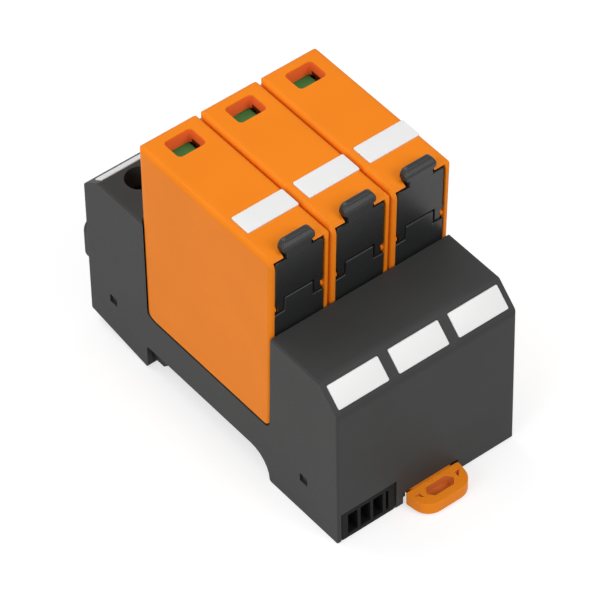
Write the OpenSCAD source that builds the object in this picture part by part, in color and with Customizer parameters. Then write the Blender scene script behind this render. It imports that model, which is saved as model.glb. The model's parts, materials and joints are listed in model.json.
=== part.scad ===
// Surge arrester for a 35 mm mounting rail: a base with three poles and a pull-out module on each.
// Units are millimetres. The origin is at mid-width, on the rail's centre line, in the rail's seat plane.
// +X runs across the poles, +Y from the release foot to the terminals, +Z away from the rail.

/* [Rail] */
// Width over the rail's flanges
rail_w = 35; // [34:0.1:35.5]
// Thickness of the rail's flanges
rail_t = 1; // [0.8:0.1:1.5]
// Depth of the rail behind its flanges
rail_depth = 7.5; // [7:0.1:9]

/* [Fits] */
// Gap round a module in its bay
bay_gap = 0.45; // [0.3:0.05:0.6]
// Gap round the foot and the plug
slide_gap = 0.3; // [0.2:0.05:0.5]
// Radial clearance of pivots and screws
pivot_gap = 0.05; // [0.02:0.01:0.1]
// Gap between pieces that are fixed to each other
seat_gap = 0.1; // [0.05:0.05:0.3]

/* [Base] */
// Distance between two poles
pole_pitch = 18; // [17.5:0.1:20]
// Distance from the rail's centre line to the foot end
front_reach = 51.5; // [50:0.5:56]
// Distance from the rail's centre line to the terminal end
back_reach = 45.5; // [44.5:0.5:50]
// Height of both shoulders above the rail seat
shoulder_z = 43; // [42.5:0.5:46]
// Wall of the ends and shoulders
base_wall = 1.8; // [1.5:0.1:2.2]
// Wall of the two sides
side_wall = 1.6; // [1.2:0.1:1.8]
// Wall round the module bays
bay_wall = 1.6; // [1.2:0.1:1.8]
// Wall between two terminal chambers
chamber_wall = 1.2; // [0.8:0.1:1.6]
// Rounding of the base's upright and long top edges
base_edge_r = 0.6; // [0.3:0.1:0.9]
// Leg of the bevel between shoulder and foot end
bevel = 6.8; // [6:0.1:8]
// Length of the slope behind the terminal screws
rear_slope_run = 6.3; // [5.5:0.1:7]
// Rounding between that slope and the terminal end
rear_corner_r = 3.8; // [2.5:0.1:4]
// Drop of that slope
rear_slope_drop = 4.4; // [3.5:0.1:5]
// Rise of the underside towards the terminal end
tail_lift = 3.2; // [2:0.1:4]
// Radius between the rail recess and its front wall
recess_r = 7; // [5:0.5:7]
// Room for the rail in front of its flange
recess_front_room = 7.8; // [7.5:0.1:9]
// Room behind the rail's other flange
recess_back_room = 5.1; // [4.8:0.1:5.5]
// Length of a snap slot in the sides
snap_l = 2.8; // [2.4:0.1:3.4]
// Height of a snap slot in the sides
snap_h = 2.6; // [2.2:0.1:3.2]
// Thickness of the rail plate
plate_t = 1.7; // [1.4:0.1:2]

/* [Modules] */
// Gap between two modules
module_gap = 0.4; // [0.3:0.1:0.8]
// Height of the modules' tops above the rail seat
module_top_z = 68; // [67:0.5:74]
// Height of the modules' undersides
module_bottom_z = 11.6; // [11.4:0.1:12.4]
// Front of a module at its top
module_front_top = 27.6; // [27.2:0.1:28.2]
// Front of a module at its underside
module_front_bottom = 25.4; // [25:0.1:26]
// Back of a module at its top
module_back_top = 23.2; // [22.9:0.1:23.5]
// Back of a module at its underside
module_back_bottom = 23.2; // [22.9:0.1:23.5]
// Wall of a module's shell
shell_t = 1.3; // [1.1:0.1:1.5]
// Rounding of a module's long top edges
top_edge_r = 1.5; // [0.6:0.1:1.8]
// Rounding of a module's upright front edges
front_edge_r = 1; // [0.4:0.1:1.2]
// Rounding of a module's upright back edges
back_edge_r = 2.8; // [1:0.1:3]
// Width of the opening for lever and panel
front_opening_w = 14.8; // [14:0.1:15]
// Width of the status window
window_w = 8.2; // [7:0.1:9]
// Length of the status window
window_l = 6.5; // [5.5:0.1:6.6]
// Middle of the status window, from the pole's middle
window_x = 0.5; // [0:0.1:1.4]
// Front edge of the status window
window_y = 12.9; // [12.5:0.1:13.2]
// Depth of the window's well
window_depth = 4.2; // [4:0.1:5.4]
// Thickness of the status flag and of the plate below it
flag_t = 1.2; // [1:0.1:1.4]
// Travel of the status flag
flag_travel = 7; // [6.6:0.1:7.2]

/* [Release lever] */
// Height of the lever's pivot
pivot_z = 50.6; // [50.2:0.1:51]
// Radius of the pivot studs
stud_r = 0.6; // [0.5:0.05:0.7]
// Thickness of the lever's plate
lever_t = 2.2; // [1.8:0.1:2.4]
// Width of the lever's neck
lever_neck_w = 7.4; // [6.8:0.1:7.8]
// Width of the lever's head
lever_head_w = 9.4; // [8.8:0.1:10]
// Drop of the lever's shoulders below the modules' tops
lever_shoulder_drop = 1.5; // [1.4:0.1:2.4]
// Height of the lever's head above the modules' tops
lever_head_rise = 3.4; // [2.5:0.1:4]
// Width of the tower between the lever's legs
tower_w = 8.3; // [7.6:0.1:8.8]
// Height of the tower above the lever's pivot
tower_rise = 2.8; // [2:0.1:3.2]
// Drop of the step beside the tower, below the lever's pivot
step_drop = 1.6; // [1.5:0.1:2.2]

/* [Labels] */
// Length of a label
label_l = 15; // [13:0.5:15.4]
// Width of the labels on bevel and modules
label_w = 6.4; // [5.5:0.1:6.8]
// Width of the labels on the rear slope
rear_label_w = 3.4; // [2.5:0.1:4]
// Thickness of a label
label_t = 0.7; // [0.5:0.1:0.8]
// Depth of a label's seat
label_seat = 0.5; // [0.3:0.1:0.6]

/* [Terminals] */
// Distance from the rail's centre line to the clamping screws
screw_y = 34.2; // [34:0.1:34.8]
// Radius of the screw's shank
screw_r = 2.5; // [2:0.1:2.6]
// Radius of the screw's head
screw_head_r = 3.7; // [3.4:0.05:3.8]
// Height of the screw's head
screw_head_h = 3.2; // [2.8:0.1:3.4]
// Radius of the screwdriver shaft in the shoulder
driver_r = 4; // [3.9:0.05:4.2]
// Height of the cable entries
entry_z = 16; // [15.8:0.1:16.2]
// Radius of the cable entries
entry_r = 4.5; // [4:0.1:4.5]
// Height of the raised band round the cable entries
band_h = 15; // [14:0.1:16]
// How far the band's middle lies above the cable entries
band_rise = 1.5; // [1:0.1:2]
// Rounding of the band's corners
band_r = 4; // [3:0.1:5]
// How far the band stands proud
band_proud = 1.3; // [0.9:0.1:1.6]
// Length of a clamping cage
cage_l = 9; // [8:0.1:9.2]
// Side wall of a clamping cage
cage_wall = 1.3; // [1:0.1:1.5]
// Thickness of a clamping cage's threaded top
cage_top_t = 2.8; // [2.4:0.1:3]
// Travel of a clamping cage
cage_travel = 7; // [5:0.1:7]
// Thickness of the copper bars
bar_t = 1.5; // [1.2:0.1:1.6]
// Width of the copper bars
bar_w = 8; // [7:0.1:8.4]
// Thickness of a module's contact blades
blade_t = 1.2; // [1:0.1:1.4]
// Width of a module's contact blades
blade_w = 7; // [6:0.1:7.4]

/* [Signal plug] */
// Pitch of the signal contacts
signal_pitch = 3.81; // [3.5:0.01:3.9]
// Distance from the base's side to the plug
plug_in = 1.2; // [1.1:0.1:1.5]
// Width of the plug
plug_w = 16.2; // [15.4:0.1:16.2]
// Distance from the plug's left end to the middle signal contact
signal_in = 7.2; // [6.9:0.1:7.5]
// Height of the plug
plug_h = 9.2; // [8.5:0.1:9.5]
// Length of the plug
plug_l = 11; // [10:0.1:11.4]
// Width of a wire opening
wire_w = 2.9; // [2.4:0.1:3]
// Height of a wire opening
wire_h = 6.5; // [5:0.1:7]

/* [Foot] */
// Middle of the release foot
foot_x = 1.2; // [1:0.1:1.6]
// Width of the foot's grip
foot_w = 16.4; // [15:0.1:16.6]
// How far the grip stands out of the base
foot_proud = 7.5; // [6:0.1:9]
// Thickness of the grip
foot_t = 3.4; // [3.2:0.1:3.8]
// Width of the foot's slider
slider_w = 12; // [11:0.1:12.4]
// Travel of the foot
foot_travel = 4.5; // [4:0.1:4.6]
// Outer diameter of the foot's spring
spring_d = 2.8; // [2.4:0.1:3]
// Wire of the foot's spring
spring_wire = 0.5; // [0.4:0.05:0.6]

/* [Hidden] */

$fn = 48;
arc_step = 15;
poles = [1, 2, 3];
past = 1;
base_w = 3 * pole_pitch;
inner_w = base_w - 2 * side_wall;
front_y = -front_reach;
back_y = back_reach;
bottom_z = -rail_depth;
recess_front_y = -rail_w / 2 - recess_front_room;
recess_back_y = rail_w / 2 + recess_back_room;
module_w = pole_pitch - module_gap;
cavity_w = module_w - 2 * shell_t;
bay_floor_z = module_bottom_z - bay_gap;
under_floor_z = bay_floor_z - bay_wall;

// Colours, as the product shows them
orange = [0.98, 0.55, 0.12];
grey = [0.28, 0.29, 0.29];
black = [0.13, 0.14, 0.14];
white = [0.92, 0.92, 0.92];
copper = [0.78, 0.48, 0.30];
steel = [0.72, 0.73, 0.75];

// Turn in degrees from direction a1 to direction a2, the short way round
function short_turn(a1, a2) = (a2 - a1 + 540) % 360 - 180;

// Unit vector from p to q
function heading(p, q) = (q - p) / norm(q - p);

// Plane point of a corner [a, b, radius]
function flat(c) = [c[0], c[1]];

// Points of the arc that rounds corner c between its neighbours
function corner_arc(before, c, after) =
    let (u = heading(flat(c), flat(before)),
         v = heading(flat(c), flat(after)),
         half = acos(u * v) / 2,
         centre = flat(c) + heading([0, 0], u + v) * c[2] / sin(half),
         start = flat(c) + u * c[2] / tan(half) - centre,
         end = flat(c) + v * c[2] / tan(half) - centre,
         a1 = atan2(start[1], start[0]),
         turn = short_turn(a1, atan2(end[1], end[0])),
         steps = max(2, ceil(abs(turn) / arc_step)))
    [for (i = [0:steps]) centre + c[2] * [cos(a1 + turn * i / steps), sin(a1 + turn * i / steps)]];

// Outline of the corners [a, b, radius], each rounded by its radius
function rounded(corners) =
    let (n = len(corners))
    [for (i = [0:n - 1])
        each corners[i][2] > 0
            ? corner_arc(corners[(i + n - 1) % n], corners[i], corners[(i + 1) % n])
            : [flat(corners[i])]];

// Corners of a counter-clockwise outline moved inwards by d, or outwards where d is negative
function inset(corners, d) =
    let (n = len(corners))
    [for (i = [0:n - 1])
        let (c = corners[i],
             u = heading(flat(corners[(i + n - 1) % n]), flat(c)),
             v = heading(flat(c), flat(corners[(i + 1) % n])),
             shift = ([-u[1], u[0]] + [-v[1], v[0]]) / (1 + u * v),
             convex = u[0] * v[1] - u[1] * v[0] > 0)
        [c[0] + d * shift[0], c[1] + d * shift[1], max(0, c[2] + (convex ? -d : d))]];

// Corners of a rectangle, each with radius r
function rect(a0, a1, b0, b1, r = 0) = [[a0, b0, r], [a1, b0, r], [a1, b1, r], [a0, b1, r]];

// Front face of a module at height z
function module_front_y(z) =
    -module_front_bottom
    - (module_front_top - module_front_bottom) * (z - module_bottom_z) / (module_top_z - module_bottom_z);

// Back face of a module at height z
function module_back_y(z) =
    module_back_bottom
    + (module_back_top - module_back_bottom) * (z - module_bottom_z) / (module_top_z - module_bottom_z);

// Side view of the base, round its rail recess
function base_side() = [
    [front_y, bottom_z, 0.8],
    [recess_front_y, bottom_z, 0.6],
    [recess_front_y, 0, recess_r],
    [recess_back_y, 0, 0.8],
    [recess_back_y, bottom_z, 0.6],
    [back_y, bottom_z + tail_lift, 1],
    [back_y, shoulder_z - rear_slope_drop, rear_corner_r],
    [back_y - rear_slope_run, shoulder_z, 0.8],
    [front_y + bevel, shoulder_z, 2.5],
    [front_y, shoulder_z - bevel, 3]];

// Side view of the base with its underside left open
function base_hood() = [
    [front_y, bottom_z - 3 * base_wall, 0],
    [back_y, bottom_z - 3 * base_wall, 0],
    [back_y, shoulder_z - rear_slope_drop, rear_corner_r],
    [back_y - rear_slope_run, shoulder_z, 0.8],
    [front_y + bevel, shoulder_z, 2.5],
    [front_y, shoulder_z - bevel, 3]];

// Side view of a module
function module_side() = [
    [-module_front_bottom, module_bottom_z, 2],
    [module_back_bottom, module_bottom_z, 5],
    [module_back_top, module_top_z, 2.2],
    [-module_front_top, module_top_z, 3]];

// Extrudes a (Y, Z) outline along X, centred
module across(w) {
    rotate([90, 0, 90]) linear_extrude(w, center = true) children();
}

// Extrudes an (X, Z) outline along Y from y0 to y1
module lengthwise(y0, y1) {
    translate([0, y1, 0]) rotate([90, 0, 0]) linear_extrude(y1 - y0) children();
}

// Extrudes an (X, Y) outline along Z from z0 to z1
module upright(z0, z1) {
    translate([0, 0, z0]) linear_extrude(z1 - z0) children();
}

// Box between two corners
module box(x0, x1, y0, y1, z0, z1) {
    translate([x0, y0, z0]) cube([x1 - x0, y1 - y0, z1 - z0]);
}

// Cylinder along X, centred
module rod_x(r, w) {
    rotate([0, 90, 0]) cylinder(r = r, h = w, center = true);
}

// Cylinder along X from x0 to x1
module rod_span(r, x0, x1) {
    translate([(x0 + x1) / 2, 0, 0]) rod_x(r, x1 - x0);
}

// Places a piece at a pole
module at_pole(pole) {
    translate([(pole - 2) * pole_pitch, 0, 0]) children();
}

// Coil of round wire along +Y from y = 0, made of rings set along a helix
module coil(d, wire, length, turns) {
    sides = 6;
    rings = turns * 10;
    radius = (d - wire) / 2;
    ring_points = [
        for (i = [0:rings])
            let (a = 360 * turns * i / rings, out = [cos(a), 0, sin(a)], y = wire / 2 + (length - wire) * i / rings)
            for (j = [0:sides - 1])
                let (b = 360 * j / sides)
                out * (radius + wire / 2 * cos(b)) + [0, y + wire / 2 * sin(b), 0]];
    skin = [
        for (i = [0:rings - 1])
            for (j = [0:sides - 1])
                let (near = i * sides, far = near + sides, j2 = (j + 1) % sides)
                each [[near + j, near + j2, far + j2], [near + j, far + j2, far + j]]];
    first_end = [[for (j = [0:sides - 1]) sides - 1 - j]];
    last_end = [[for (j = [0:sides - 1]) rings * sides + j]];
    polyhedron(points = ring_points, faces = concat(skin, first_end, last_end), convexity = 4);
}

// Base housing

// Room of a label on the bevel: x along the pole, y up the slope, z out of the face
module on_bevel(pole) {
    at_pole(pole)
        translate([0, front_y + bevel / 2, shoulder_z - bevel / 2]) rotate([45, 0, 0]) children();
}

// Room of a label on the rear slope, in the same way
module on_rear_slope(pole) {
    at_pole(pole)
        translate([0, back_y - rear_slope_run, shoulder_z])
            rotate([-atan2(rear_slope_drop, rear_slope_run), 0, 0])
                translate([0, rear_label_inset + rear_label_w / 2, 0]) children();
}
rear_label_inset = 0.5;

// Rounded flat label outline with its middle at the origin
module label_outline(l, w, r, grow = 0) {
    polygon(rounded(rect(-l / 2 - grow, l / 2 + grow, -w / 2 - grow, w / 2 + grow, r + grow)));
}
label_r = 0.4;

// Screwdriver shaft: a guide for the tool above, and room for the screw's head below
driver_floor_z = shoulder_z - 10;
screw_top_z = driver_floor_z + 3;
screw_head_z = screw_top_z - screw_head_h;
head_room_r = driver_r + 0.4;
head_room_top_z = screw_top_z + slide_gap;

module driver_tube() {
    translate([0, screw_y, driver_floor_z])
        cylinder(r = head_room_r + 1.2, h = shoulder_z - base_wall / 2 - driver_floor_z);
}

module driver_bore() {
    translate([0, screw_y, head_room_top_z])
        cylinder(r = driver_r, h = shoulder_z + past - head_room_top_z);
    translate([0, screw_y, driver_floor_z - past])
        cylinder(r = head_room_r, h = head_room_top_z - driver_floor_z + past);
}

// Cable entries: a band across the end wall, and for each a tube behind it and a funnel at its mouth
entry_inner_y = screw_y + cage_l / 2 + 0.6;
funnel = 0.8;
band_in = 0.2;

module entry_band() {
    half = base_w / 2 - band_in;
    middle = entry_z + band_rise;
    lengthwise(back_y - base_wall / 2, back_y + band_proud)
        polygon(rounded(rect(-half, half, middle - band_h / 2, middle + band_h / 2, band_r)));
}

module entry_body() {
    translate([0, back_y - base_wall / 2, entry_z])
        rotate([90, 0, 0]) cylinder(r = entry_r + 1, h = back_y - base_wall / 2 - entry_inner_y);
}

module entry_bore() {
    translate([0, back_y + band_proud + past, entry_z])
        rotate([90, 0, 0]) cylinder(r = entry_r, h = back_y + band_proud + 2 * past - entry_inner_y);
    translate([0, back_y + band_proud - funnel, entry_z])
        rotate([-90, 0, 0]) cylinder(r1 = entry_r, r2 = entry_r + funnel + past, h = funnel + past);
}

// Slots in the bay floor for the contact blades
blade_front_y = -16;
blade_rear_y = 6;
blade_room = 0.6;

module blade_slots() {
    for (y = [blade_front_y, blade_rear_y])
        box(-blade_t / 2 - blade_room, blade_t / 2 + blade_room,
            y - blade_w / 2 - blade_room, y + blade_w / 2 + blade_room,
            under_floor_z - past, bay_floor_z + past);
}

// Bay of the signal plug in the lower front corner
plug_left_x = -base_w / 2 + plug_in;
plug_right_x = plug_left_x + plug_w;
signal_x = plug_left_x + signal_in;
plug_front_y = front_y + 0.2;
plug_back_y = plug_front_y + plug_l;
plug_bottom_z = bottom_z + 0.3;
plug_top_z = plug_bottom_z + plug_h;
plug_bay_left_x = plug_left_x - slide_gap;
plug_bay_right_x = plug_right_x + slide_gap;
plug_bay_top_z = plug_top_z + slide_gap;
plug_bay_wall = 1.4;
plug_bay_end_y = plug_back_y + seat_gap;

module plug_bay_walls() {
    box(plug_bay_left_x - seat_gap, plug_bay_right_x + plug_bay_wall, front_y + base_wall / 2, plug_bay_end_y,
        plug_bay_top_z, plug_bay_top_z + plug_bay_wall);
    box(plug_bay_right_x, plug_bay_right_x + plug_bay_wall, front_y + base_wall / 2, plug_bay_end_y,
        bottom_z, plug_bay_top_z + plug_bay_wall);
}

module plug_bay() {
    box(plug_bay_left_x, plug_bay_right_x, front_y - past, plug_bay_end_y + past,
        bottom_z - past, plug_bay_top_z);
}

// Slot of the release foot in the end wall
foot_bottom_z = bottom_z + 0.6;
foot_top_z = foot_bottom_z + foot_t;

module foot_slot() {
    box(foot_x - foot_w / 2 - slide_gap, foot_x + foot_w / 2 + slide_gap,
        front_y - past, front_y + base_wall + past, bottom_z - past, foot_top_z + slide_gap);
}

// Snap slots in the two sides: [y, z] of their middles and the height of the plate below them
snap_front_in = 13;
snap_back_in = 9.9;
snap_front_z = 4.2;
snap_back_z = 5.6;
snap_front = [front_y + snap_front_in, snap_front_z, bottom_z];
tail_slope = tail_lift / (back_y - recess_back_y);
snap_back = [back_y - snap_back_in, snap_back_z, bottom_z + tail_slope * (back_y - snap_back_in - recess_back_y)];

module snap_slots() {
    for (spot = [snap_front, snap_back])
        box(-base_w / 2 - past, base_w / 2 + past,
            spot[0] - snap_l / 2, spot[0] + snap_l / 2, spot[1] - snap_h / 2, spot[1] + snap_h / 2);
}

// Hollow under the hood, left open to the underside, with the bays and the chamber walls kept
module base_hollow() {
    difference() {
        across(inner_w) polygon(rounded(inset(base_hood(), base_wall)));
        across(base_w) polygon(rounded(inset(module_side(), -bay_gap - bay_wall)));
        for (side = [-1, 1])
            box(side * pole_pitch / 2 - chamber_wall / 2, side * pole_pitch / 2 + chamber_wall / 2,
                module_back_top, back_y, plate_t + 1, shoulder_z);
    }
}

// Block with the base's outer edges rounded in plan and in front view
module base_edges() {
    intersection() {
        upright(-tall, tall)
            polygon(rounded(rect(-base_w / 2, base_w / 2, front_y, back_y, base_edge_r)));
        lengthwise(-tall, tall)
            polygon(rounded([[-base_w / 2, -tall, 0], [base_w / 2, -tall, 0],
                             [base_w / 2, shoulder_z, base_edge_r], [-base_w / 2, shoulder_z, base_edge_r]]));
    }
}

// Room for the row of modules, with the two outer corners at its back rounded as the modules are
module bay_cut() {
    half = base_w / 2 - module_gap / 2 + bay_gap;
    intersection() {
        across(base_w + 2 * past) polygon(rounded(inset(module_side(), -bay_gap)));
        translate([0, module_back_bottom, module_bottom_z]) rotate([-back_lean, 0, 0])
            upright(-tall, tall)
                polygon(rounded([[-half, -tall, 0], [half, -tall, 0],
                                 [half, bay_gap, back_edge_r + bay_gap], [-half, bay_gap, back_edge_r + bay_gap]]));
    }
}

module base_housing() {
    color(grey)
    difference() {
        union() {
            difference() {
                intersection() {
                    across(base_w + 2 * past) polygon(rounded(base_side()));
                    base_edges();
                }
                bay_cut();
                base_hollow();
            }
            plug_bay_walls();
            entry_band();
            for (pole = poles) at_pole(pole) {
                driver_tube();
                entry_body();
            }
        }
        plug_bay();
        foot_slot();
        snap_slots();
        for (pole = poles) {
            at_pole(pole) {
                driver_bore();
                entry_bore();
                blade_slots();
            }
            on_bevel(pole) upright(-label_seat, past) label_outline(label_l, label_w, label_r, seat_gap);
            on_rear_slope(pole)
                upright(-label_seat, past) label_outline(label_l, rear_label_w, label_r, seat_gap);
        }
    }
}

// Rail plate: closes the underside, seats the rail, hooks its far flange and guides the foot

hook_reach = 1.9;
hook_gap = 0.3;
hook_end_y = rail_w / 2 + hook_gap;
hook_tip_y = rail_w / 2 - hook_reach;
hook_top_z = -rail_t - hook_gap;
hook_bottom_z = hook_top_z - 3.6;
plate_w = inner_w - 2 * seat_gap;
plate_front_y = front_y + base_wall + seat_gap;
plate_back_y = back_y - base_wall - seat_gap;
plate_tail_z = bottom_z + tail_slope * (plate_back_y - recess_back_y);

// Side view of the rail plate
function plate_side() = [
    [plate_front_y, bottom_z, 0],
    [recess_front_y, bottom_z, 0.6],
    [recess_front_y, 0, recess_r],
    [hook_end_y, 0, 0.3],
    [hook_end_y, hook_top_z + 0.2, 0.3],
    [hook_tip_y, hook_top_z, 0.3],
    [hook_tip_y, hook_top_z - 1, 0.5],
    [hook_tip_y + 2.6, hook_bottom_z, 0.8],
    [recess_back_y, hook_bottom_z, 0],
    [recess_back_y, bottom_z, 0.6],
    [plate_back_y, plate_tail_z, 0],
    [plate_back_y, plate_tail_z + plate_t, 0],
    [recess_back_y + plate_t, bottom_z + plate_t + tail_slope * plate_t, 0],
    [recess_back_y + plate_t, plate_t, 0],
    [recess_front_y - plate_t, plate_t, recess_r + plate_t],
    [recess_front_y - plate_t, bottom_z + plate_t, 0],
    [plate_front_y, bottom_z + plate_t, 0]];

// The foot's slider, its tongues and the guide round them
slider_t = foot_t - 0.4;
slider_bottom_z = foot_bottom_z + 0.2;
slider_top_z = slider_bottom_z + slider_t;
slider_mid_z = slider_bottom_z + slider_t / 2;
tongue_out = 1.2;
tongue_t = 1.2;
tongue_front_y = front_y + base_wall + foot_travel + 1.2;
tongue_back_y = recess_front_y - 2.7;
guide_w = slider_w + 2 * (slide_gap + tongue_out + slide_gap + 1);
guide_top_z = slider_top_z + slide_gap + 1.4;

module foot_guide() {
    box(foot_x - guide_w / 2, foot_x + guide_w / 2, plate_front_y + seat_gap, recess_front_y - plate_t / 2,
        bottom_z, guide_top_z);
}

module foot_channel() {
    box(foot_x - slider_w / 2 - slide_gap, foot_x + slider_w / 2 + slide_gap,
        front_y - past, recess_front_y + recess_r, bottom_z - past, slider_top_z + slide_gap);
    box(foot_x - slider_w / 2 - tongue_out - slide_gap, foot_x + slider_w / 2 + tongue_out + slide_gap,
        front_y - past, recess_front_y - plate_t - slide_gap,
        slider_mid_z - tongue_t / 2 - slide_gap, slider_mid_z + tongue_t / 2 + slide_gap);
    box(foot_x - slider_w / 2 - slide_gap, foot_x + slider_w / 2 + slide_gap,
        foot_nose_y - nose_l - nose_run - foot_travel - slide_gap, recess_front_y + recess_r,
        bottom_z - past, foot_nose_z + slide_gap);
}

// Post in the foot's window that takes the spring's fixed end
spring_room = 0.2;
window_half = spring_d / 2 + 0.7;
foot_window_front_y = front_y + 5.6;
post_front_y = foot_window_front_y + 0.5;
post_back_y = post_front_y + 1.8;
spring_front_y = post_back_y + spring_room;
foot_window_back_y = recess_front_y - 5.7;
spring_l = foot_window_back_y - spring_room - spring_front_y;

module spring_post() {
    box(foot_x - window_half + 0.6, foot_x + window_half - 0.6, post_front_y, post_back_y,
        slider_bottom_z + 0.4, guide_top_z - 0.5);
}

// Clips that snap into the slots of the base's sides
clip_t = 1.2;
clip_l = snap_l - 0.6;
clip_out = 1.2;

module side_clips() {
    for (side = [0, 1], spot = [snap_front, snap_back])
        mirror([side, 0, 0]) {
            box(plate_w / 2 - clip_t, plate_w / 2, spot[0] - clip_l / 2, spot[0] + clip_l / 2,
                spot[2] + plate_t / 3, spot[1] + snap_h / 2 - 0.4);
            box(plate_w / 2 - clip_t, plate_w / 2 + clip_out, spot[0] - clip_l / 2, spot[0] + clip_l / 2,
                spot[1] - snap_h / 2 + 0.3, spot[1] + snap_h / 2 - 0.9);
        }
}

module rail_plate() {
    color(black)
    difference() {
        union() {
            difference() {
                union() {
                    across(plate_w) polygon(rounded(plate_side()));
                    foot_guide();
                }
                foot_channel();
            }
            spring_post();
            side_clips();
        }
        box(-base_w / 2 - past, plug_bay_right_x + plug_bay_wall + seat_gap, front_y - past,
            plug_bay_end_y + 2 * seat_gap, bottom_z - past, shoulder_z);
    }
}

// Release foot with its grip, screwdriver pocket, slider and latch nose

grip_side_slant = 1;
pocket_w = 8.4;
pocket_l = 3.4;
pocket_taper = 1.3;
pocket_depth = foot_t - 1;
dimple_l = 1.6;
foot_nose_y = -rail_w / 2 + 1.8;
foot_nose_z = hook_top_z;
nose_l = 3.7;
nose_run = 1;

module foot_grip() {
    upright(foot_bottom_z, foot_top_z)
        polygon(rounded([
            [foot_x - foot_w / 2 + grip_side_slant, front_y - foot_proud, 4.6],
            [foot_x + foot_w / 2 - grip_side_slant, front_y - foot_proud, 4.6],
            [foot_x + foot_w / 2, front_y - slide_gap, 0.6],
            [foot_x - foot_w / 2, front_y - slide_gap, 0.6]]));
}

module grip_pocket() {
    pocket_y = front_y - foot_proud * 0.46;
    upright(foot_top_z - pocket_depth, foot_top_z + past)
        translate([foot_x, pocket_y])
            polygon(rounded([for (p = [[-1, 0], [-1, -1], [1, -1], [1, 0], [1, 1], [-1, 1]])
                [p[0] * (pocket_w / 2 - pocket_taper * abs(p[1])), p[1] * pocket_l / 2, 0.4]]));
    for (side = [-1, 1])
        translate([foot_x + side * (foot_w / 2 - 2.1), pocket_y + 0.4, foot_top_z - 0.7])
            linear_extrude(0.7 + past)
                polygon([[-side * dimple_l / 2, -dimple_l / 2], [side * dimple_l / 2, dimple_l / 2],
                         [-side * dimple_l / 2, dimple_l / 2]]);
}

// Side view of the slider, with the nose that goes under the rail's flange
function slider_side() = [
    [front_y - 2 * slide_gap, slider_bottom_z, 0],
    [foot_nose_y - nose_l, slider_bottom_z, 1],
    [foot_nose_y, foot_nose_z - 1.2, 0.4],
    [foot_nose_y, foot_nose_z, 0.3],
    [foot_nose_y - nose_l, foot_nose_z, 0.3],
    [foot_nose_y - nose_l - nose_run, slider_top_z, 0],
    [front_y - 2 * slide_gap, slider_top_z, 0]];

module rail_foot() {
    color(orange)
    difference() {
        union() {
            foot_grip();
            translate([foot_x, 0, 0]) across(slider_w) polygon(rounded(slider_side()));
            box(foot_x - slider_w / 2 - tongue_out, foot_x + slider_w / 2 + tongue_out,
                tongue_front_y, tongue_back_y, slider_mid_z - tongue_t / 2, slider_mid_z + tongue_t / 2);
        }
        grip_pocket();
        box(foot_x - window_half, foot_x + window_half, foot_window_front_y, foot_window_back_y,
            bottom_z - past, slider_top_z + past);
    }
}

module foot_spring() {
    color(steel)
        translate([foot_x, spring_front_y, slider_mid_z]) coil(spring_d, spring_wire, spring_l, 9);
}

// Labels

module front_labels() {
    color(white)
        for (pole = poles)
            on_bevel(pole)
                upright(-label_seat + seat_gap, -label_seat + seat_gap + label_t)
                    label_outline(label_l, label_w, label_r);
}

module rear_labels() {
    color(white)
        for (pole = poles)
            on_rear_slope(pole)
                upright(-label_seat + seat_gap, -label_seat + seat_gap + label_t)
                    label_outline(label_l, rear_label_w, label_r);
}

// The label of a module sits at its right edge, with orange in front of it
module_label_front_y = -16.6;
module_label_right = 0.35;

module on_module_top() {
    translate([module_w / 2 - module_label_right - label_l / 2, module_label_front_y + label_w / 2, module_top_z])
        children();
}

module module_label(pole) {
    color(white)
        at_pole(pole)
            on_module_top()
                upright(-label_seat + seat_gap, -label_seat + seat_gap + label_t)
                    label_outline(label_l, label_w, label_r);
}

// Signal plug, its contacts and what they meet in the base

wire_z = (plug_bottom_z + plug_top_z) / 2;
wire_depth = 7;
pin_w = 1;
pin_room = 0.3;
contact_l = 3;
signal_spots = [for (i = [-1:1]) signal_x + i * signal_pitch];

module signal_plug() {
    pocket_end_y = plug_front_y + wire_depth;
    key_x = signal_x + 1.5 * signal_pitch + 0.9;
    color(black)
    difference() {
        lengthwise(plug_front_y, plug_back_y)
            polygon(rounded(rect(plug_left_x, plug_right_x, plug_bottom_z, plug_top_z, 0.4)));
        for (x = signal_spots) {
            box(x - wire_w / 2, x + wire_w / 2, plug_front_y - past, pocket_end_y,
                wire_z - wire_h / 2, wire_z + wire_h / 2);
            box(x - pin_w / 2 - pin_room, x + pin_w / 2 + pin_room, plug_front_y, plug_back_y + past,
                wire_z - pin_w / 2 - pin_room, wire_z + pin_w / 2 + pin_room);
        }
        box(key_x - 0.35, key_x + 0.35, plug_front_y - past, plug_front_y + 1.2,
            wire_z - wire_h / 2, wire_z + wire_h / 2);
    }
}

module plug_contacts() {
    contact_end_y = plug_front_y + wire_depth - seat_gap;
    color(steel)
        for (x = signal_spots)
            difference() {
                box(x - wire_w / 2 + seat_gap, x + wire_w / 2 - seat_gap, contact_end_y - contact_l, contact_end_y,
                    wire_z - wire_h / 2 + seat_gap, wire_z + wire_h / 2 - seat_gap);
                box(x - pin_w / 2 - pin_room, x + pin_w / 2 + pin_room, contact_end_y - contact_l - past,
                    contact_end_y + past, wire_z - pin_w / 2 - pin_room, wire_z + pin_w / 2 + pin_room);
                box(x - wire_w / 2 + 0.5, x + wire_w / 2 - 0.5, contact_end_y - contact_l - past,
                    contact_end_y + past, wire_z + 1.2, wire_z + wire_h / 2 - 0.7);
            }
}

board_t = 1.6;
board_off = 4.2;
board_in = 2.3;
header_side = 1.5;
board_front_y = plug_back_y + board_off;
board_left_x = plug_left_x + board_in;
board_right_x = foot_x - guide_w / 2 - 0.6;
board_bottom_z = bottom_z + plate_t + seat_gap;
board_top_z = 16;
header_front_y = plug_back_y + slide_gap + 0.2;

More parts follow.
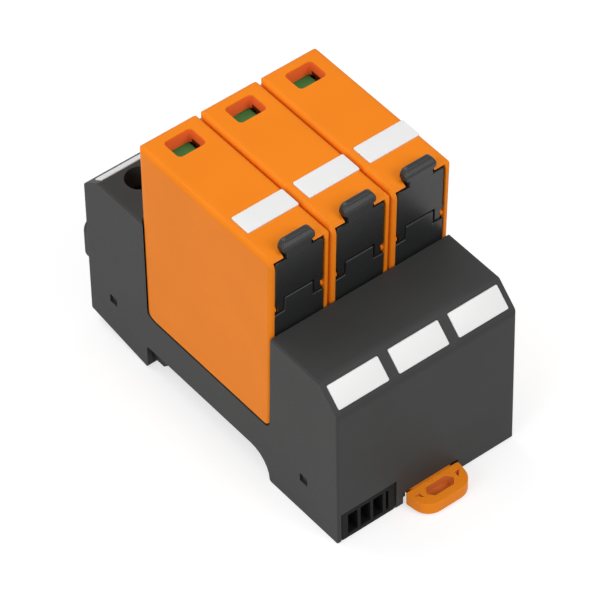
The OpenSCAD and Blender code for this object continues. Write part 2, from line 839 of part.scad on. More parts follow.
module signal_header() {
    color(black)
    difference() {
        box(board_left_x - 0.2, signal_x + signal_pitch + header_side, header_front_y, board_front_y - seat_gap,
            board_bottom_z, plug_bay_top_z - 0.4);
        for (x = signal_spots)
            box(x - pin_w / 2 - seat_gap, x + pin_w / 2 + seat_gap, header_front_y - past, board_front_y,
                wire_z - pin_w / 2 - seat_gap, wire_z + pin_w / 2 + seat_gap);
    }
}

module header_pins() {
    color(steel)
        for (x = signal_spots)
            box(x - pin_w / 2, x + pin_w / 2, plug_front_y + wire_depth - contact_l + 0.6,
                board_front_y + board_t + 1, wire_z - pin_w / 2, wire_z + pin_w / 2);
}

module signal_board() {
    color([0.10, 0.35, 0.20])
    difference() {
        box(board_left_x, board_right_x, board_front_y, board_front_y + board_t, board_bottom_z, board_top_z);
        for (x = signal_spots)
            box(x - pin_w / 2 - seat_gap, x + pin_w / 2 + seat_gap, board_front_y - past,
                board_front_y + board_t + past, wire_z - pin_w / 2 - seat_gap, wire_z + pin_w / 2 + seat_gap);
    }
}

switch_l = 12.8;
switch_h = 6.5;
switch_d = 5.8;
switch_rise = 0.8;
button_r = 1;
button_l = 1.2;

module microswitch() {
    switch_back_y = board_front_y - seat_gap;
    switch_left_x = board_left_x + seat_gap;
    switch_z = plug_bay_top_z + plug_bay_wall + switch_rise;
    color(black) {
        box(switch_left_x, switch_left_x + switch_l, switch_back_y - switch_d, switch_back_y,
            switch_z, switch_z + switch_h);
        translate([switch_left_x + switch_l / 3, switch_back_y - switch_d / 2, switch_z + switch_h - seat_gap])
            cylinder(r = button_r, h = button_l);
    }
}

// Copper bars and their spring clips

bar_z = plate_t + 0.3;
bar_base_t = 1.2;
clip_leaf = 0.8;
clip_gap = 0.1;
clip_top_z = under_floor_z - 1;

// Spring clip round a blade, open at the top, with flared lips
module blade_clip(y) {
    inner = blade_t / 2 + clip_gap;
    outer = inner + clip_leaf;
    lip = 0.6;
    lengthwise(y - blade_w / 2, y + blade_w / 2)
        polygon([[-outer, bar_z], [outer, bar_z], [outer, clip_top_z - 1.6], [outer + lip, clip_top_z],
                 [inner + lip, clip_top_z], [inner, clip_top_z - 1.6], [inner, bar_z + bar_base_t],
                 [-inner, bar_z + bar_base_t], [-inner, clip_top_z - 1.6], [-inner - lip, clip_top_z],
                 [-outer - lip, clip_top_z], [-outer, clip_top_z - 1.6]]);
}

module link_busbar() {
    color(copper) {
        box(-pole_pitch - bar_w / 2, pole_pitch + bar_w / 2, blade_front_y - blade_w / 2,
            blade_front_y + blade_w / 2, bar_z, bar_z + bar_base_t);
        for (pole = poles) at_pole(pole) blade_clip(blade_front_y);
    }
}

// Height of the bar that the clamped wire is pressed against
bar_under_z = entry_z + entry_r;
bar_top_z = bar_under_z + bar_t;
bar_leg_y = module_back_y(bar_top_z) + bay_gap + bay_wall + 0.4;
bar_end_y = entry_inner_y - 0.3;

// Side view of a terminal bar, from the clamping cage down to the contact clip
function line_bar_side() = [
    [blade_rear_y - blade_w / 2, bar_z, 0],
    [bar_leg_y + bar_t, bar_z, 1],
    [bar_leg_y + bar_t, bar_under_z, 0],
    [bar_end_y, bar_under_z, 0],
    [bar_end_y, bar_top_z, 0],
    [bar_leg_y, bar_top_z, 1],
    [bar_leg_y, bar_z + bar_base_t, 0],
    [blade_rear_y - blade_w / 2, bar_z + bar_base_t, 0]];

module line_busbar(pole) {
    color(copper)
        at_pole(pole) {
            across(bar_w) polygon(rounded(line_bar_side()));
            blade_clip(blade_rear_y);
        }
}

// Clamping screw and cage: the cage climbs the screw and presses the wire against the bar

screw_tip_z = bar_top_z + 0.3;
cage_in_w = bar_w + 1.4;
cage_w = cage_in_w + 2 * cage_wall;
cage_floor_t = 1.8;
cage_floor_z = entry_z - entry_r;
cage_top_z = bar_top_z + 0.6 + cage_top_t;

module clamp_cage(pole) {
    color(steel)
        at_pole(pole)
            difference() {
                lengthwise(screw_y - cage_l / 2, screw_y + cage_l / 2)
                    polygon(rounded(rect(-cage_w / 2, cage_w / 2, cage_floor_z - cage_floor_t, cage_top_z, 1)));
                lengthwise(screw_y - cage_l / 2 - past, screw_y + cage_l / 2 + past)
                    polygon(rounded(rect(-cage_in_w / 2, cage_in_w / 2, cage_floor_z, cage_top_z - cage_top_t, 0.4)));
                translate([0, screw_y, cage_top_z - cage_top_t - past])
                    cylinder(r = screw_r + pivot_gap, h = cage_top_t + 2 * past);
            }
}

module terminal_screw(pole) {
    slot_w = 1.1;
    slot_depth = 1.5;
    color(steel)
        at_pole(pole)
            translate([0, screw_y, 0])
                difference() {
                    union() {
                        translate([0, 0, screw_tip_z]) cylinder(r = screw_r, h = screw_top_z - screw_tip_z);
                        translate([0, 0, screw_head_z]) cylinder(r = screw_head_r, h = screw_head_h);
                    }
                    for (turn = [0, 90])
                        rotate([0, 0, turn])
                            box(-screw_head_r * 0.8, screw_head_r * 0.8, -slot_w / 2, slot_w / 2,
                                screw_top_z - slot_depth, screw_top_z + past);
                }
}

// Module shell

front_lean = atan2(module_front_top - module_front_bottom, module_top_z - module_bottom_z);
back_lean = atan2(module_back_top - module_back_bottom, module_top_z - module_bottom_z);
tall = 2 * module_top_z;

// The lever lies in the opening with its front just behind the module's front
pivot_depth = 1.6;
pivot_y = module_front_y(pivot_z) + pivot_depth;
pivot_rise = (pivot_z - module_bottom_z) / cos(front_lean);
lever_shoulder = module_top_z - lever_shoulder_drop - pivot_z;
lever_recess = 0.25;
lever_back = lever_recess + lever_t - pivot_depth;
head_back = lever_back + 0.4;
boss_l = 0.8;
boss_r = 1.1;
lever_low_w = front_opening_w - 2 * (boss_l + slide_gap);
neck_rise = pivot_rise + lever_shoulder + slide_gap;
neck_room = 0.65;
notch_depth = pivot_depth + head_back + slide_gap;

// Places a piece on the module's front: z up the leaning face, y into it
module on_front() {
    translate([0, -module_front_bottom, module_bottom_z]) rotate([front_lean, 0, 0]) children();
}

// Block whose two upright edges at the module's front, or back, are rounded
module front_edges() {
    on_front()
        upright(-tall, tall)
            polygon(rounded([[-module_w / 2, 0, front_edge_r], [module_w / 2, 0, front_edge_r],
                             [module_w / 2, tall, 0], [-module_w / 2, tall, 0]]));
}

module back_edges() {
    translate([0, module_back_bottom, module_bottom_z]) rotate([-back_lean, 0, 0])
        upright(-tall, tall)
            polygon(rounded([[-module_w / 2, -tall, 0], [module_w / 2, -tall, 0],
                             [module_w / 2, 0, back_edge_r], [-module_w / 2, 0, back_edge_r]]));
}

// Block whose two long top edges are rounded
module top_edges() {
    lengthwise(-tall, tall)
        polygon(rounded([[-module_w / 2, 0, 0], [module_w / 2, 0, 0],
                         [module_w / 2, module_top_z, top_edge_r], [-module_w / 2, module_top_z, top_edge_r]]));
}

module shell_blank() {
    intersection() {
        across(module_w) polygon(rounded(module_side()));
        front_edges();
        back_edges();
        top_edges();
    }
}

// Opening in the front wall for panel and lever, with a notch in the top for the lever's neck
module shell_front_opening() {
    notch_w = lever_neck_w + 2 * neck_room;
    on_front()
        box(-front_opening_w / 2, front_opening_w / 2, -past, pivot_depth + lever_back + slide_gap,
            -2 * past, neck_rise);
    upright(module_top_z - 3 * shell_t, module_top_z + past)
        polygon(rounded([[-notch_w / 2, -module_front_top - past, 0], [notch_w / 2, -module_front_top - past, 0],
                         [notch_w / 2, -module_front_top + notch_depth, 0.8],
                         [-notch_w / 2, -module_front_top + notch_depth, 0.8]]));
}

// Underside of the shell that the carrier closes
carrier_front_y = -module_front_bottom + shell_t + 0.3;
carrier_back_y = module_back_bottom - 10.6;

module shell_underside() {
    box(-cavity_w / 2, cavity_w / 2, carrier_front_y - seat_gap, carrier_back_y + seat_gap,
        module_bottom_z - past, module_bottom_z + shell_t + past);
}

well_wall = 0.8;
window_r = 1.1;
well_bottom_z = module_top_z - window_depth;

module window_outline(grow = 0) {
    polygon(rounded(rect(window_x - window_w / 2 - grow, window_x + window_w / 2 + grow,
                         window_y - grow, window_y + window_l + grow, window_r + grow)));
}

// Studs for the lever's legs, each on a boss of the opening's side
stud_grip = 1;

module pivot_studs() {
    boss_x = lever_low_w / 2 + slide_gap;
    for (side = [0, 1])
        mirror([side, 0, 0]) translate([0, pivot_y, pivot_z]) {
            rod_span(boss_r, boss_x, front_opening_w / 2 + 0.4);
            rod_span(stud_r, lever_low_w / 2 - stud_grip, boss_x + 0.2);
        }
}

// Inside the shell: ledges under the trip plate and a stop behind the trip spring
trip_plate_z = well_bottom_z - slide_gap - 2 * flag_t - 0.4;
trip_spring_x = -cavity_w / 2 + 1.55;
trip_spring_z = 45;
stop_front_y = 17;

module shell_ledges() {
    ledge_y = window_y + 0.6;
    for (side = [-1, 1])
        box(min(side * cavity_w / 2, window_x + side * (window_w / 2 - 0.4)) - (side < 0 ? seat_gap : 0),
            max(side * cavity_w / 2, window_x + side * (window_w / 2 - 0.4)) + (side > 0 ? seat_gap : 0),
            ledge_y, ledge_y + window_l, trip_plate_z - seat_gap - 1, trip_plate_z - seat_gap);
    box(-cavity_w / 2 - seat_gap, trip_spring_x + 1.4, stop_front_y, module_back_y(trip_spring_z) - shell_t / 2,
        trip_spring_z - 2, trip_spring_z + 2);
}

module module_shell(pole) {
    color(orange)
        at_pole(pole) {
            difference() {
                union() {
                    difference() {
                        shell_blank();
                        across(cavity_w) polygon(rounded(inset(module_side(), shell_t)));
                        shell_underside();
                    }
                    upright(well_bottom_z, module_top_z - shell_t / 2) window_outline(well_wall);
                }
                upright(well_bottom_z - past, module_top_z + past) window_outline();
                shell_front_opening();
                on_module_top() upright(-label_seat, past)
                    polygon(rounded(rect(-label_l / 2 - seat_gap, label_l / 2 + past,
                                         -label_w / 2 - seat_gap, label_w / 2 + seat_gap, label_r)));
            }
            pivot_studs();
            shell_ledges();
        }
}

// Carrier: bottom plate, front panel with its tower, and ribs under the varistor

carrier_w = cavity_w - 2 * seat_gap;
carrier_t = 1.8;
panel_recess = 0.25;
panel_t = 2;
varistor_z = 18;
varistor_front_y = -16;
varistor_l = 30;
varistor_h = 34;
varistor_t = 8;
rib_front_y = -9;

// Front panel, stepped in to the tower that stands between the lever's legs
module front_panel() {
    half = front_opening_w / 2 - seat_gap;
    step = pivot_rise - step_drop;
    top = pivot_rise + tower_rise;
    on_front()
        lengthwise(panel_recess, panel_recess + panel_t)
            polygon(rounded([[-half, carrier_t - 0.6, 0], [half, carrier_t - 0.6, 0], [half, step, 0.3],
                             [tower_w / 2, step, 0], [tower_w / 2, top, 0.3], [-tower_w / 2, top, 0.3],
                             [-tower_w / 2, step, 0], [-half, step, 0.3]]));
}

module module_carrier(pole) {
    plate_top_z = module_bottom_z + carrier_t;
    color(black)
        at_pole(pole)
            difference() {
                union() {
                    box(-carrier_w / 2, carrier_w / 2, carrier_front_y, carrier_back_y, module_bottom_z, plate_top_z);
                    front_panel();
                    for (y = [rib_front_y, carrier_back_y - 2.4])
                        box(-varistor_t / 2, varistor_t / 2, y, y + 2, plate_top_z - 0.2, varistor_z - seat_gap);
                }
                for (y = [blade_front_y, blade_rear_y])
                    box(-blade_t / 2 - seat_gap, blade_t / 2 + seat_gap, y - blade_w / 2 - seat_gap,
                        y + blade_w / 2 + seat_gap, module_bottom_z - past, plate_top_z + past);
            }
}

// Release lever: drawn upright about its pivot, then leaned to follow the module's front

lever_front = lever_recess - pivot_depth;
lever_w = front_opening_w - 2 * slide_gap;
lever_top = module_top_z + lever_head_rise - pivot_z;
lever_end = step_drop - slide_gap - 0.1;
lever_edge = 0.5;
bridge_gap = 0.45;

// Front view: two legs round the tower, a plate, a neck and a wider head
function lever_outline() =
    let (leg = tower_w / 2 + slide_gap,
         low = lever_low_w / 2,
         low_top = boss_r + 0.5,
         head = module_top_z + slide_gap - pivot_z,
         half = [[leg, tower_rise + bridge_gap, 0.3], [leg, -lever_end, 0], [low, -lever_end, 0], [low, low_top, 0],
                 [lever_w / 2, low_top + 0.6, 0], [lever_w / 2, lever_shoulder, 1],
                 [lever_neck_w / 2, lever_shoulder, 0], [lever_neck_w / 2, head, 0],
                 [lever_head_w / 2, head + 0.3, 0.4], [lever_head_w / 2, lever_top, 2]])
    concat(half, [for (i = [len(half) - 1:-1:0]) [-half[i][0], half[i][1], half[i][2]]]);

// Side view: rounded ends at the pivot, and a head that leans back to a rounded top
function lever_side() = [
    [lever_front, -lever_end, 1], [lever_back, -lever_end, 1], [lever_back, lever_shoulder - 3, 0],
    [head_back, lever_shoulder - 1, 0], [head_back, lever_top, 0.5], [lever_front + 0.9, lever_top, 0.9],
    [lever_front, lever_shoulder, 0]];

module release_lever(pole) {
    color(black)
        at_pole(pole)
            translate([0, pivot_y, pivot_z])
                rotate([front_lean, 0, 0])
                    difference() {
                        intersection() {
                            lengthwise(lever_front - past, head_back + past) polygon(rounded(lever_outline()));
                            across(lever_w + past) polygon(rounded(lever_side()));
                            upright(-lever_end - past, lever_top + past)
                                polygon([[-lever_w / 2 + lever_edge, lever_front - 0.1],
                                         [lever_w / 2 - lever_edge, lever_front - 0.1],
                                         [lever_w / 2 + 0.1, lever_front + lever_edge],
                                         [lever_w / 2 + 0.1, head_back + past],
                                         [-lever_w / 2 - 0.1, head_back + past],
                                         [-lever_w / 2 - 0.1, lever_front + lever_edge]]);
                        }
                        for (side = [0, 1])
                            mirror([side, 0, 0])
                                rod_span(stud_r + pivot_gap, lever_low_w / 2 - stud_grip - seat_gap, lever_low_w / 2 + past);
                    }
}

// Status flag, the plate that shows when it has moved, and its spring

flag_z = trip_plate_z + flag_t + 0.4;
flag_side_room = 0.4;
flag_end_gap = 0.6;
flag_over = 0.4;
flag_front_y = 5;
flag_back_y = window_y + window_l + flag_over;
flag_arm_l = 2;

module status_flag(pole) {
    arm_z = trip_spring_z - 3;
    arm_left_x = -cavity_w / 2 + 0.65;
    color([0.16, 0.45, 0.18])
        at_pole(pole) {
            box(window_x - window_w / 2 - flag_side_room, window_x + window_w / 2 - flag_end_gap,
                flag_front_y, flag_back_y, flag_z, flag_z + flag_t);
            box(arm_left_x, window_x, flag_front_y, flag_front_y + flag_arm_l, flag_z, flag_z + flag_t);
            box(arm_left_x, arm_left_x + 1.7, flag_front_y, flag_front_y + flag_arm_l, arm_z, flag_z + flag_t);
        }
}

module trip_plate(pole) {
    color([0.75, 0.10, 0.08])
        at_pole(pole)
            box(window_x - window_w / 2 - flag_side_room, window_x + window_w / 2 + flag_side_room,
                window_y - flag_side_room, module_back_y(trip_plate_z) - shell_t - seat_gap,
                trip_plate_z, trip_plate_z + flag_t);
}

module trip_spring(pole) {
    spring_start_y = flag_front_y + flag_arm_l + spring_room;
    color(steel)
        at_pole(pole)
            translate([trip_spring_x, spring_start_y, trip_spring_z])
                coil(2.4, 0.35, stop_front_y - spring_room - spring_start_y, 7);
}

module varistor(pole) {
    color([0.16, 0.24, 0.42])
        at_pole(pole)
            lengthwise(varistor_front_y, varistor_front_y + varistor_l)
                polygon(rounded(rect(-varistor_t / 2, varistor_t / 2, varistor_z, varistor_z + varistor_h, 1.2)));
}

// Contact blades: each leaves the underside, steps aside and runs up a face of the varistor
module contact_blade(y, side) {
    tip_z = bar_z + bar_base_t + 0.4;
    step_z = varistor_z - 1.6 - blade_t;
    inner_x = varistor_t / 2 + 0.2;
    lengthwise(y - blade_w / 2, y + blade_w / 2)
        polygon([for (p = [[-blade_t / 4, tip_z], [blade_t / 4, tip_z], [blade_t / 2, tip_z + 1],
                           [blade_t / 2, step_z], [inner_x + blade_t, step_z], [inner_x + blade_t, varistor_z + 12],
                           [inner_x, varistor_z + 12], [inner_x, step_z + blade_t], [-blade_t / 2, step_z + blade_t],
                           [-blade_t / 2, tip_z + 1]])
                    [side * p[0], p[1]]]);
}

module contact_blades(pole) {
    color(steel)
        at_pole(pole) {
            contact_blade(blade_front_y, -1);
            contact_blade(blade_rear_y, 1);
        }
}

base_housing();
rail_plate();
rail_foot();
foot_spring();
front_labels();
rear_labels();
signal_plug();
plug_contacts();
signal_header();
header_pins();
signal_board();
microswitch();
link_busbar();
for (pole = poles) {
    line_busbar(pole);
    clamp_cage(pole);
    terminal_screw(pole);
    module_shell(pole);
    module_carrier(pole);
    release_lever(pole);
    status_flag(pole);
    trip_plate(pole);
    trip_spring(pole);
    varistor(pole);
    contact_blades(pole);
    module_label(pole);
}
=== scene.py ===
"""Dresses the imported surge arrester: finishes for its solids, and finer pieces worked out with numpy."""

import json
import math

import bmesh
import bpy
import numpy as np
from bpy.props import FloatProperty, FloatVectorProperty, IntProperty, PointerProperty
from bpy.types import Operator, Panel, PropertyGroup
from mathutils import Matrix, Vector


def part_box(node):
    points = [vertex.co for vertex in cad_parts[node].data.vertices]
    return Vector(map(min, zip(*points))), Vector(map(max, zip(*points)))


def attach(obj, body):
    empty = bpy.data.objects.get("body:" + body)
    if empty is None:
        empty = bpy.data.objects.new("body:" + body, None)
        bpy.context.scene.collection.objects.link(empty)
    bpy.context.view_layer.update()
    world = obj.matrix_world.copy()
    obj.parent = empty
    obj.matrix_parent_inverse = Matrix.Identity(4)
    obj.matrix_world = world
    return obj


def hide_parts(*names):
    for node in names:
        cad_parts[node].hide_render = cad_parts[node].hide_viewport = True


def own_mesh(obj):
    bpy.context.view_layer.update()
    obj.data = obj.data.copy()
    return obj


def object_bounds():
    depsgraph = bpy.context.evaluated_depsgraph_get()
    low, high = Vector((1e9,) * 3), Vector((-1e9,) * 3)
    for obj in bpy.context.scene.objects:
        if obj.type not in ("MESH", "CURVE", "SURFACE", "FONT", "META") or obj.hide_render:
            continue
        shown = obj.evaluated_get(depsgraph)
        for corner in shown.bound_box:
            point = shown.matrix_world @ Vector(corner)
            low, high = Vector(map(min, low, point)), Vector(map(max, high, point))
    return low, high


bl_info = {
    "name": "Rail Surge Arrester",
    "version": (1, 0, 0),
    "blender": (4, 5, 0),
    "location": "3D View > Sidebar > Arrester",
    "description": "Finishes and fine pieces for a rail-mounted surge arrester",
    "category": "Object",
}

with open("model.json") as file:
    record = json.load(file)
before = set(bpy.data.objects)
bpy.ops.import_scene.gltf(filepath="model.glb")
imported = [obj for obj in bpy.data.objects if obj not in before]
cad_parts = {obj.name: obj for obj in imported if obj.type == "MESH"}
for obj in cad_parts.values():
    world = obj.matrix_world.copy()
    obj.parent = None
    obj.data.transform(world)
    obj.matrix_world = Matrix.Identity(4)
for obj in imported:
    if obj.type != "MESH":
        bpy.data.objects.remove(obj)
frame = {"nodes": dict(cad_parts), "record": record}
NODES = frame["nodes"]
CAD_BOX = [list(corner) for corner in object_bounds()]
# Middle of each pole along X, in millimetres
POLES = {1: -18.0, 2: 0.0, 3: 18.0}
MM = 0.001
TURN = 2 * math.pi
IMAGE_PX = 598
# Edges sharper than this, in degrees, stay sharp on a smooth piece
SMOOTH_DEG = 32.0
# Sockets of a mix node that mixes colours
MIX_FACTOR, MIX_A, MIX_B, MIX_RESULT = 0, 6, 7, 2


def colour_prop(name, description, default):
    """A colour that the user can change."""
    return FloatVectorProperty(name=name, description=description, default=default, size=3, subtype="COLOR",
                               min=0.0, max=1.0)


def length_prop(name, description, default):
    """A length in metres that the user can change."""
    return FloatProperty(name=name, description=description, default=default, unit="LENGTH", precision=5)


def number_prop(name, description, default):
    """A plain number that the user can change."""
    return FloatProperty(name=name, description=description, default=default)


class ArresterFinish(PropertyGroup):
    """Colours and surface of the plastics and metals, with some painted light and shade."""

    orange: colour_prop("Orange", "Moulded orange of the modules", (0.92, 0.245, 0.012))
    # Painted light: lighter than the modules' orange, making up for the light that the base keeps off the
    # foot
    foot: colour_prop("Foot", "Lighter orange of the rail foot", (1.0, 0.28, 0.018))
    # Painted shade: a darker orange standing in for the shade inside the foot's pockets
    pocket_shade: colour_prop("Pocket", "Duller orange in the foot's pockets", (0.73, 0.2, 0.042))
    grey: colour_prop("Grey", "Moulded grey of the base", (0.0465, 0.0475, 0.047))
    black: colour_prop("Black", "Moulded black of levers and inner parts", (0.011, 0.0115, 0.0115))
    # Painted glow: a deep red-orange standing in for light that comes through the orange plastic into the
    # windows' wells
    painted_glow: colour_prop("Lining", "Deep orange inside the windows", (1.0, 0.18, 0.04))
    label: colour_prop("Label", "White of the marker plates", (0.84, 0.84, 0.835))
    green: colour_prop("Green", "Status flag", (0.06, 0.36, 0.1))
    red: colour_prop("Red", "Plate under the status flag", (0.6, 0.03, 0.02))
    copper: colour_prop("Copper", "Bars", (0.75, 0.36, 0.2))
    zinc: colour_prop("Zinc", "Plated screws and cages", (0.62, 0.62, 0.6))
    grain: FloatProperty(name="Grain", description="Moulding grains in a metre", default=2600.0, min=100.0)


class ArresterDetail(PropertyGroup):
    """Sizes of the fine pieces."""

    label_edge: length_prop("Label edge", "Rounding of a marker plate's edge", 0.00022)
    lever_edge: length_prop("Lever edge", "Rounding of a lever's edges", 0.00045)
    moulded_edge: length_prop("Moulded edge", "Rounding of the edges of foot, plug and front panels", 0.0002)
    thread_pitch: length_prop("Thread pitch", "Pitch of the clamping screws", 0.0008)
    thread_depth: length_prop("Thread depth", "Depth of the clamping screws' thread", 0.0004)
    spring_turns: IntProperty(name="Spring turns", description="Turns of a spring", default=10, min=4)


class ArresterStage(PropertyGroup):
    """Camera's place, angles and lens."""

    azimuth: number_prop("Azimuth", "Camera's way round the object, in degrees", -37.73)
    elevation: number_prop("Elevation", "Camera's height angle, in degrees", 46.19)
    roll: number_prop("Roll", "Camera's tilt about its view, in degrees", -1.23)
    focal: number_prop("Focal length", "Focal length in pixels of the image", 4704.6)
    place: FloatVectorProperty(name="Place", description="Camera's place", size=3, subtype="TRANSLATION",
                               unit="LENGTH", default=(-0.4776, -0.62065, 0.83315))


# Meshes from arrays


def grid_faces(rows, columns, close_rows=False):
    """Quads between neighbouring points of a grid whose columns close round, and its rows on request."""
    i = np.arange(rows if close_rows else rows - 1)
    i, j = np.meshgrid(i, np.arange(columns), indexing="ij")
    i2, j2 = (i + 1) % rows, (j + 1) % columns
    quads = np.stack([i * columns + j, i * columns + j2, i2 * columns + j2, i2 * columns + j], axis=-1)
    return quads.reshape(-1, 4).tolist()


def ringed(points, close_rows=False):
    """(vertices, faces) of a skin through rings points[row, column], with its first and last rings filled."""
    rows, columns = points.shape[:2]
    faces = grid_faces(rows, columns, close_rows)
    if not close_rows:
        faces.append(list(range(columns))[::-1])
        faces.append(list(range((rows - 1) * columns, rows * columns)))
    return points.reshape(-1, 3), faces


def piece(name, parts, body, material, replaces=()):
    """One object at the origin from several (vertices, faces) in millimetres, riding on a body."""
    vertices, faces, start = [], [], 0
    for v, f in parts:
        vertices.append(v)
        faces += [[i + start for i in face] for face in f]
        start += len(v)
    mesh = bpy.data.meshes.new(name)
    mesh.from_pydata((np.concatenate(vertices) * MM).tolist(), [], faces)
    mesh.validate()
    mesh.shade_smooth()
    mesh.set_sharp_from_angle(angle=math.radians(SMOOTH_DEG))
    mesh.materials.append(material)
    made = bpy.data.objects.new(name, mesh)
    bpy.context.scene.collection.objects.link(made)
    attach(made, body)
    if replaces:
        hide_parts(*replaces)
    return made


def arc_outline(corners, step=0.2):
    """Closed outline whose corners (a, b, radius) are rounded by arcs with a point every step radians."""
    c = np.array(corners, float)
    out = []
    for before, here, after in zip(np.roll(c, 1, 0), c, np.roll(c, -1, 0)):
        u, v = before[:2] - here[:2], after[:2] - here[:2]
        u, v = u / np.linalg.norm(u), v / np.linalg.norm(v)
        half = math.acos(np.clip(u @ v, -1, 1)) / 2
        radius = max(here[2], 1e-6)
        middle = here[:2] + (u + v) / np.linalg.norm(u + v) * radius / math.sin(half)
        first, last = (here[:2] + w * radius / math.tan(half) - middle for w in (u, v))
        a0 = math.atan2(first[1], first[0])
        turn = (math.atan2(last[1], last[0]) - a0 + math.pi) % TURN - math.pi
        a = a0 + turn * np.linspace(0, 1, max(2, int(abs(turn) / step) + 2))
        out.append(middle + radius * np.stack([np.cos(a), np.sin(a)], axis=-1))
    return np.concatenate(out)


def rectangle(a0, a1, b0, b1, radius):
    """Outline of a rectangle with rounded corners, counter-clockwise."""
    return arc_outline([(a0, b0, radius), (a1, b0, radius), (a1, b1, radius), (a0, b1, radius)])


def inset(outline, depth):
    """A counter-clockwise outline moved inwards by depth along the mean normal of its edges."""
    edge = np.roll(outline, -1, 0) - outline
    normal = np.stack([-edge[:, 1], edge[:, 0]], axis=-1)
    normal /= np.maximum(np.linalg.norm(normal, axis=1, keepdims=True), 1e-12)
    before = np.roll(normal, 1, 0)
    shift = (normal + before) / np.maximum(1 + (normal * before).sum(1, keepdims=True), 0.3)
    return outline + depth * shift


def slab(outline, low, high, edge, steps=4):
    """Plate of a flat outline from height low to high, its edges rounded by quarter circles."""
    a = np.linspace(0, math.pi / 2, steps + 1)
    depth = np.concatenate([edge * (1 - np.sin(a)), edge * (1 - np.cos(a))])
    height = np.concatenate([low + edge * (1 - np.cos(a)), high - edge * (1 - np.sin(a))])
    rings = [np.column_stack([inset(outline, d), np.full(len(outline), h)]) for d, h in zip(depth, height)]
    return ringed(np.stack(rings))


def placed(part, matrix):
    """A part's vertices carried by a 4 x 4 matrix."""
    v, f = part
    m = np.array(matrix, float)
    return v @ m[:3, :3].T + m[:3, 3], f


def at(x, y, z, lean=0.0):
    """A place in millimetres, leaned by some degrees about X."""
    return Matrix.Translation((x, y, z)) @ Matrix.Rotation(math.radians(lean), 4, "X")


def stacked(left, right, front, back, z, edge, steps=5):
    """Skin through oblong rings at heights z, each with its own four sides and rounded corners."""
    half_x, half_y = (right - left)[:, None] / 2, (back - front)[:, None] / 2
    r = np.minimum(edge, 0.9 * np.minimum(half_x, half_y))
    a = (np.linspace(0, math.pi / 2, steps) + np.arange(4)[:, None] * math.pi / 2).ravel()
    x = (left + right)[:, None] / 2 + np.repeat([1, -1, -1, 1], steps) * (half_x - r) + r * np.cos(a)
    y = (front + back)[:, None] / 2 + np.repeat([1, 1, -1, -1], steps) * (half_y - r) + r * np.sin(a)
    return ringed(np.stack([x, y, np.repeat(z[:, None], a.size, axis=1)], axis=-1))


def tube(outline, thickness, low, high):
    """Thin wall inside a flat outline, from height low to high."""
    inner = inset(outline, thickness)
    rows = ((outline, low), (outline, high), (inner, high), (inner, low))
    return ringed(np.stack([np.column_stack([ring, np.full(len(ring), z)]) for ring, z in rows]), True)


def eased(node, body, width, material):
    """A copy of a solid with its triangles joined to flat faces, its sharp edges rounded by a bevel."""
    merge_m, flat_deg, sharp_deg = 1e-6, 0.5, 40
    mesh = NODES[node].data.copy()
    work = bmesh.new()
    work.from_mesh(mesh)
    bmesh.ops.remove_doubles(work, verts=work.verts, dist=merge_m)
    bmesh.ops.dissolve_limit(work, angle_limit=math.radians(flat_deg), verts=work.verts, edges=work.edges)
    work.to_mesh(mesh)
    work.free()
    mesh.shade_smooth()
    mesh.materials.clear()
    mesh.materials.append(material)
    made = bpy.data.objects.new("eased_" + node, mesh)
    bpy.context.scene.collection.objects.link(made)
    bevel = made.modifiers.new("edges", "BEVEL")
    bevel.width = width
    bevel.segments = 3
    bevel.limit_method = "ANGLE"
    bevel.angle_limit = math.radians(sharp_deg)
    bevel.use_clamp_overlap = False
    made.modifiers.new("flat_faces", "WEIGHTED_NORMAL").keep_sharp = True
    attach(made, body)
    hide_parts(node)


def coil(radius, wire, low, high, turns, sides=10, steps=28):
    """Round wire along a helix about Y: the last turn at either end lies flat."""
    t = np.linspace(0, turns, int(turns * steps) + 1)
    flat = 0.9
    lift = np.clip(t - flat, 0, turns - 2 * flat) / (turns - 2 * flat)
    y = low + wire / 2 + (high - low - wire) * lift
    a, b = np.meshgrid(TURN * t, np.linspace(TURN, 0, sides, endpoint=False), indexing="ij")
    reach = radius + wire / 2 * np.cos(b)
    along = y[:, None] + wire / 2 * np.sin(b)
    return ringed(np.stack([reach * np.cos(a), along, -reach * np.sin(a)], axis=-1))


# Finishes


def shader(name):
    """A new material, its node maker, its links and its shader."""
    material = bpy.data.materials.new(name)
    material.use_nodes = True
    tree = material.node_tree
    return material, tree.nodes.new, tree.links.new, tree.nodes["Principled BSDF"]


def noise(new, link, vector, scale, detail, roughness=0.5):
    """A noise texture on a vector socket."""
    node = new("ShaderNodeTexNoise")
    node.inputs["Scale"].default_value = scale
    node.inputs["Detail"].default_value = detail
    node.inputs["Roughness"].default_value = roughness
    link(vector, node.inputs["Vector"])
    return node.outputs["Fac"]


def ramp(new, link, factor, low, high):
    """Maps a factor of about 0.3 to 0.7 onto low to high."""
    node = new("ShaderNodeMapRange")
    node.inputs["From Min"].default_value = 0.3
    node.inputs["From Max"].default_value = 0.7
    node.inputs["To Min"].default_value = low
    node.inputs["To Max"].default_value = high
    link(factor, node.inputs["Value"])
    return node.outputs["Result"]


def folded(new, link, operation, sockets):
    """Runs several values together by one operation, such as the largest of them."""
    total = sockets[0]
    for socket in sockets[1:]:
        node = new("ShaderNodeMath")
        node.operation = operation
        link(total, node.inputs[0])
        link(socket, node.inputs[1])
        total = node.outputs["Value"]
    return total


def scaled(colour, factor):
    """A colour made lighter or darker."""
    return tuple(min(1.0, channel * factor) for channel in colour)


def tinted(new, link, factor, colour, spread):
    """A colour that runs from darker to lighter by a spread, along a factor of about 0.3 to 0.7."""
    node = new("ShaderNodeMix")
    node.data_type = "RGBA"
    node.inputs[MIX_A].default_value = (*scaled(colour, 1 - spread), 1.0)
    node.inputs[MIX_B].default_value = (*scaled(colour, 1 + spread), 1.0)
    link(ramp(new, link, factor, 0.0, 1.0), node.inputs[MIX_FACTOR])
    return node.outputs[MIX_RESULT]


